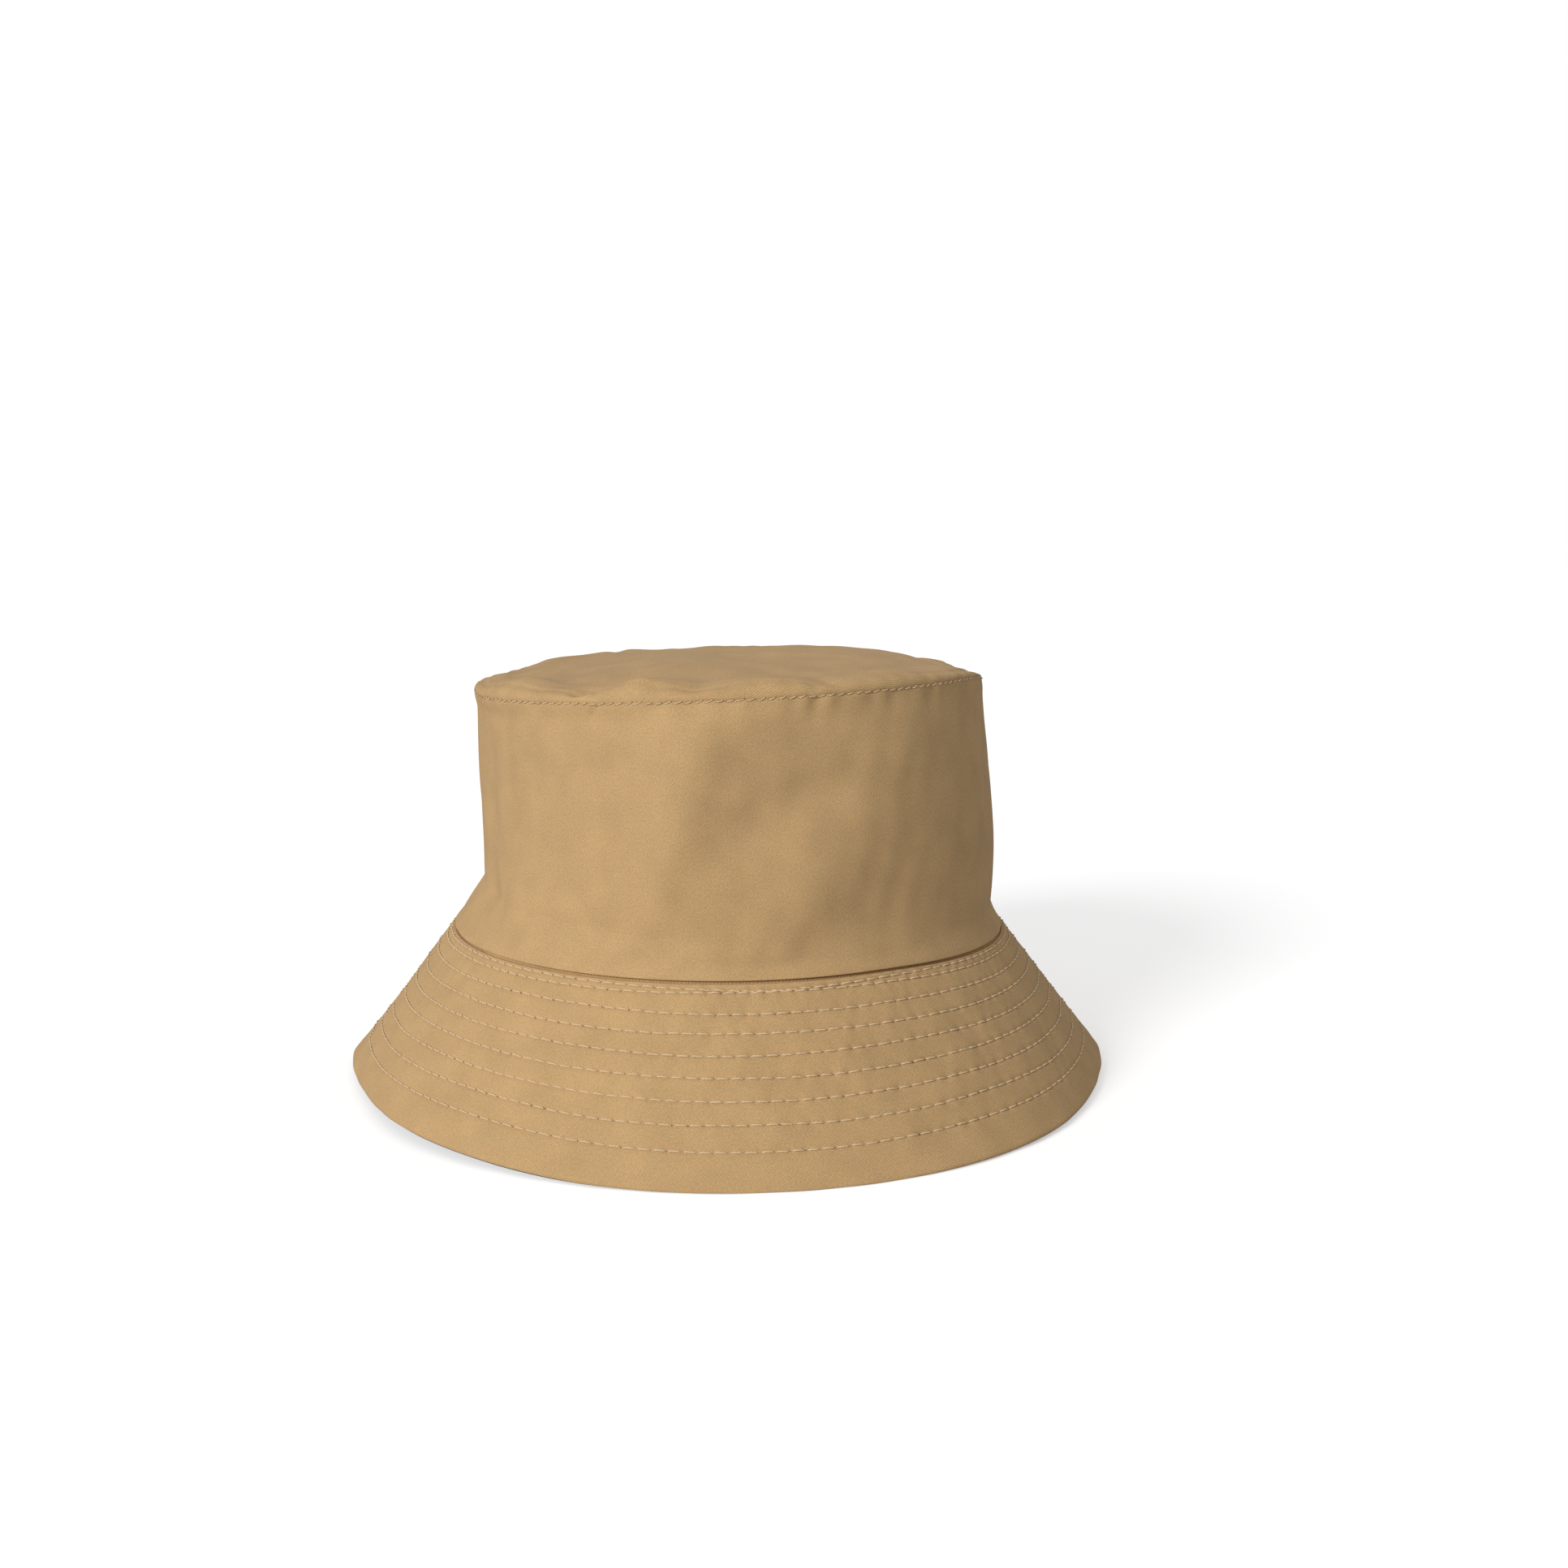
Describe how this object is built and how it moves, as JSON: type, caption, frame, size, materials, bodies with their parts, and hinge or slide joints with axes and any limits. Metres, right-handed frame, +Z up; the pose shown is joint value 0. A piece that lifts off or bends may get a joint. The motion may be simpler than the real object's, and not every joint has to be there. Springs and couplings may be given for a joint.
{
  "type": "bucket hat",
  "caption": "Soft cotton bucket hat: oval crown with a slightly domed tip, sloping brim sewn with rows of topstitching, and a dark lining.",
  "frame": {"origin": "middle of the brim's footprint, on the plane its edge rests on", "axes": "+Z up through the crown, -Y to the hat's front, +X to its wearer's left"},
  "size_m": [0.2506, 0.2688, 0.1366],
  "materials": {
    "outer_twill": "matte warm tan cotton twill",
    "lining_twill": "matte charcoal cotton twill",
    "interlining": "matte off-white woven stiffener",
    "outer_thread": "spun polyester sewing thread, slight sheen",
    "lining_thread": "spun polyester sewing thread, slight sheen"
  },
  "bodies": {
    "root": {"crown_tip_outer": "outer_twill", "crown_side_front_outer": "outer_twill", "crown_side_back_outer": "outer_twill", "brim_upper_front": "outer_twill", "brim_upper_back": "outer_twill", "crown_tip_lining": "lining_twill", "crown_side_front_lining": "lining_twill", "crown_side_back_lining": "lining_twill", "brim_under_front": "lining_twill", "brim_under_back": "lining_twill", "brim_interlining_front": "interlining", "brim_interlining_back": "interlining", "tip_topstitch_outer": "outer_thread", "brim_topstitch_upper": "outer_thread", "tip_seam_thread_outer": "outer_thread", "join_seam_thread_outer": "outer_thread", "side_seam_threads_outer": "outer_thread", "brim_side_seam_threads": "outer_thread", "brim_edge_seam_thread": "outer_thread", "tip_topstitch_lining": "lining_thread", "brim_topstitch_under": "lining_thread", "tip_seam_thread_lining": "lining_thread", "join_seam_thread_lining": "lining_thread", "side_seam_threads_lining": "lining_thread"}
  },
  "joints": []
}
